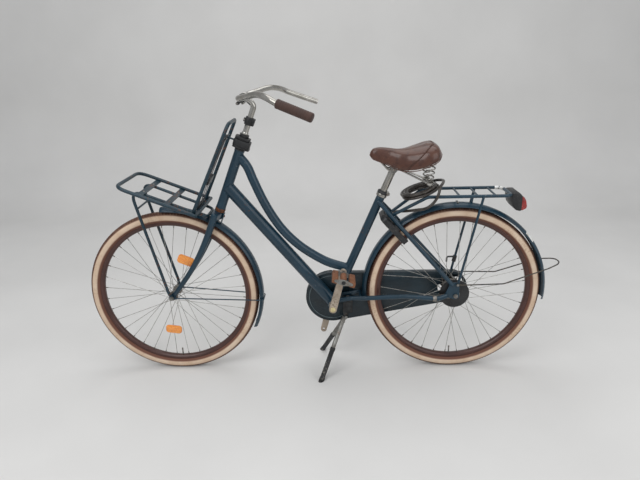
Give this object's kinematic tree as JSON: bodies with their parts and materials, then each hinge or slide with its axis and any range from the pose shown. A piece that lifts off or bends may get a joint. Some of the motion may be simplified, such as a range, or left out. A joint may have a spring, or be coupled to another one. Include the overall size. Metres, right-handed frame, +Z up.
{
  "type": "dutch city bike",
  "caption": "Step-through city bicycle with two luggage carriers, closed chain case, ring lock, sprung saddle, swept-back handlebar and centre stand.",
  "frame": {"origin": "middle of the bicycle's length and width on the ground, without the free lock cable", "axes": "+X towards the rear wheel, +Y towards the chain side, +Z up, wheels and stand feet on Z = 0"},
  "size_m": [1.9412, 0.6252, 1.1822],
  "materials": {
    "frame_paint": "glossy dark teal enamel, worn and dusty",
    "black_paint": "satin black",
    "chrome": "polished, lightly pitted",
    "steel": "dull zinc plate",
    "rusty_steel": "black paint gone to brown rust",
    "rim_paint": "satin red-brown",
    "tyre": "matt cream rubber, soiled",
    "grip": "matt dark brown",
    "pedal_rubber": "matt tan",
    "saddle_leather": "smooth dark brown, semi-gloss",
    "case_vinyl": "coated cloth, satin dark blue",
    "black_plastic": "matt black",
    "cable_plastic": "smoky sheath over a steel rope",
    "orange_plastic": "prismatic amber",
    "red_plastic": "prismatic red"
  },
  "bodies": {
    "frame": {"head_tube": "frame_paint", "headset_lower_cup": "rusty_steel", "headset_upper_cup": "black_paint", "down_tube": "frame_paint", "top_tube": "frame_paint", "seat_tube": "frame_paint", "bottom_bracket_shell": "frame_paint", "chain_stay_left": "frame_paint", "chain_stay_right": "frame_paint", "seat_stay_left": "frame_paint", "seat_stay_right": "frame_paint", "seat_clamp": "chrome", "rear_carrier": "frame_paint", "rear_mudguard": "frame_paint", "rear_mudguard_stay": "steel", "rear_light_housing": "black_plastic", "rear_light_lens": "red_plastic", "chain_case": "case_vinyl", "ring_lock_body": "black_paint", "lock_cable": "cable_plastic", "lock_cable_tail": "cable_plastic", "stand_bracket": "steel", "rear_axle": "steel", "brake_arm": "steel"},
    "steering": {"fork": "frame_paint", "headset_housing": "black_paint", "stem": "chrome", "stem_band": "black_paint", "handlebar": "chrome", "left_grip": "grip", "front_carrier_platform": "rusty_steel", "front_carrier_stays": "rusty_steel", "front_carrier_back": "rusty_steel", "front_mudguard": "frame_paint", "front_axle": "steel"},
    "front_wheel": {"front_tyre": "tyre", "front_rim": "rim_paint", "front_hub": "steel", "front_reflector_upper": "orange_plastic", "front_reflector_lower": "orange_plastic"},
    "rear_wheel": {"rear_tyre": "tyre", "rear_rim": "rim_paint", "rear_hub": "steel", "brake_disc": "black_paint"},
    "sprocket": {"rear_sprocket": "steel"},
    "cranks": {"crank_spindle": "steel", "crank_left": "steel", "crank_right": "steel"},
    "left_pedal": {"pedal_cage": "steel", "pedal_block_front": "pedal_rubber", "pedal_block_rear": "pedal_rubber"},
    "stand": {"stand_yoke": "steel", "stand_foot_left": "black_paint", "stand_foot_right": "black_paint"},
    "lock_shackle": {"ring_lock_shackle": "steel"},
    "seat": {"seat_post": "chrome", "saddle": "saddle_leather", "saddle_rails": "chrome", "saddle_spring_left": "chrome", "saddle_spring_right": "chrome"}
  },
  "joints": [
    {"name": "steering_turn", "type": "hinge", "parent": "frame", "child": "steering", "pos_m": [-0.54967, 0, 0.32978], "axis": [0.3746, 0, 0.9272], "range_deg": [-60, 60]},
    {"name": "front_wheel_spin", "type": "hinge", "parent": "steering", "child": "front_wheel", "pos_m": [-0.61458, 0, 0.356], "axis": [0, 1, 0], "continuous": true},
    {"name": "rear_wheel_spin", "type": "hinge", "parent": "frame", "child": "rear_wheel", "pos_m": [0.54842, 0, 0.356], "axis": [0, 1, 0], "continuous": true},
    {"name": "crank_spin", "type": "hinge", "parent": "frame", "child": "cranks", "pos_m": [0.05142, 0, 0.305], "axis": [0, 1, 0], "continuous": true},
    {"name": "sprocket_spin", "type": "hinge", "parent": "frame", "child": "sprocket", "pos_m": [0.54842, 0, 0.356], "axis": [0, 1, 0], "continuous": true},
    {"name": "left_pedal_spin", "type": "hinge", "parent": "cranks", "child": "left_pedal", "pos_m": [0.09542, -0.139, 0.46921], "axis": [0, 1, 0], "continuous": true},
    {"name": "stand_fold", "type": "hinge", "parent": "frame", "child": "stand", "pos_m": [0.10542, 0, 0.243], "axis": [0, -1, 0], "range_deg": [0, 72]},
    {"name": "seat_height", "type": "slide", "parent": "frame", "child": "seat", "axis": [0.3955, 0, 0.9185], "range_m": [0, 0.08]},
    {"name": "lock_close", "type": "hinge", "parent": "frame", "child": "lock_shackle", "pos_m": [0.32226, 0, 0.60718], "axis": [-0.7431, 0, -0.6691], "range_deg": [0, 112], "stiffness_Nm_per_rad": 0.05, "springref_deg": -45.84}
  ],
  "couplings": [
    {"joint": "sprocket_spin", "follows": "crank_spin", "ratio": 2}
  ]
}
